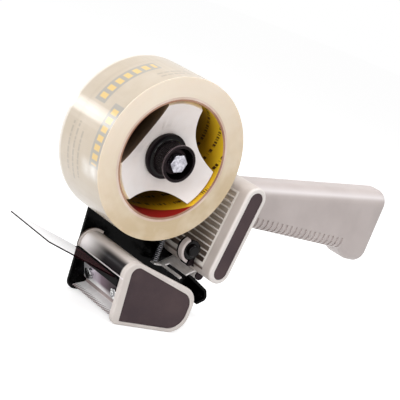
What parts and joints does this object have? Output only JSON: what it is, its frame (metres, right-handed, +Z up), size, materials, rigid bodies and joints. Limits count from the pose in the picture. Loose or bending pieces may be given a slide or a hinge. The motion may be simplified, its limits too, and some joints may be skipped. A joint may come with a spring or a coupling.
{
  "type": "tape dispenser",
  "caption": "Hand-held carton-sealing tape dispenser with a roll on a lobed hub, toothed blade, flexible wiper, tension knob and pistol grip.",
  "frame": {"origin": "middle of the whole dispenser's box, on the table that the head's flat foot stands on", "axes": "+X from the wiper's front edge to the end of the grip, +Y from the open side towards the steel side plate, along the roll's axis, +Z up"},
  "size_m": [0.279, 0.067, 0.1637],
  "materials": {
    "pale_plastic": "satin moulded",
    "hub_plastic": "satin moulded",
    "dark_panel": "fine grain",
    "black_plastic": "satin moulded",
    "wheel_plastic": "gloss",
    "bush_plastic": "natural nylon",
    "black_steel": "semi-gloss black",
    "bright_steel": "bright zinc",
    "fastener_steel": "bright zinc",
    "spring_steel": "spring wire",
    "blade_steel": "hardened, ground",
    "tape_film": "clear film on film",
    "core_board": "printed board",
    "wiper_film": "smoky flexible sheet",
    "roller_rubber": "matte",
    "felt": "pressed felt"
  },
  "bodies": {
    "frame": {"side_plate": "black_steel", "head_shell": "pale_plastic", "head_panel": "dark_panel", "grip_block": "pale_plastic", "block_panel": "dark_panel", "grip": "pale_plastic", "grip_tang": "bright_steel", "spindle": "bright_steel", "spindle_washer": "bright_steel", "spindle_nut": "fastener_steel", "hub_bolt": "fastener_steel", "bolt_washer": "black_steel", "tension_spring": "black_steel", "head_screws": "fastener_steel", "block_screws": "fastener_steel", "grip_screws": "fastener_steel", "blade": "blade_steel", "blade_clamp": "bright_steel", "blade_holder": "black_plastic", "blade_screws": "fastener_steel", "wiper_seat": "wiper_film", "wiper_bar": "black_plastic", "roller_shaft": "bright_steel", "guide_pin": "bright_steel", "guide_stop": "black_plastic", "guide_spring": "spring_steel", "spring_post": "bright_steel", "wheel_bracket": "black_plastic", "arm_pin": "bright_steel", "arm_spring": "spring_steel"},
    "roll": {"hub": "hub_plastic", "tape_core": "core_board", "tape_winding": "tape_film"},
    "knob": {"tension_knob": "black_plastic", "friction_washer": "felt"},
    "roller": {"tape_roller": "roller_rubber", "roller_bush": "bush_plastic"},
    "guide": {"tape_guide": "bright_steel"},
    "arm": {"hold_back_arm": "black_plastic", "wheel_guard": "pale_plastic"},
    "wheel": {"hold_back_wheel": "wheel_plastic", "wheel_cap": "black_plastic"},
    "wiper": {"wiper": "wiper_film"}
  },
  "joints": [
    {"name": "roll_spin", "type": "hinge", "parent": "frame", "child": "roll", "pos_m": [-0.0735, -0.002, 0.11], "axis": [0, 1, 0], "continuous": true},
    {"name": "knob_turn", "type": "hinge", "parent": "frame", "child": "knob", "pos_m": [-0.0735, -0.022, 0.11], "axis": [0, 1, 0], "range_deg": [-180, 180]},
    {"name": "roller_spin", "type": "hinge", "parent": "frame", "child": "roller", "pos_m": [-0.056, -0.002, 0.027], "axis": [0, 1, 0], "continuous": true},
    {"name": "guide_swing", "type": "hinge", "parent": "frame", "child": "guide", "pos_m": [0.0007, 0.007, 0.0346], "axis": [0, -1, 0], "range_deg": [0, 12], "stiffness_Nm_per_rad": 0.05, "springref_deg": -5.73, "deforming": ["guide_spring"]},
    {"name": "arm_swing", "type": "hinge", "parent": "frame", "child": "arm", "pos_m": [-0.0202, -0.0156, 0.0456], "axis": [0, -1, 0], "range_deg": [-5, 15], "stiffness_Nm_per_rad": 0.02},
    {"name": "wheel_spin", "type": "hinge", "parent": "arm", "child": "wheel", "pos_m": [-0.0252, -0.0185, 0.0546], "axis": [0, 1, 0], "continuous": true},
    {"name": "wiper_flex", "type": "hinge", "parent": "frame", "child": "wiper", "pos_m": [-0.0831, -0.002, 0.0294], "axis": [0, 1, 0], "range_deg": [-12, 25], "stiffness_Nm_per_rad": 0.2}
  ]
}
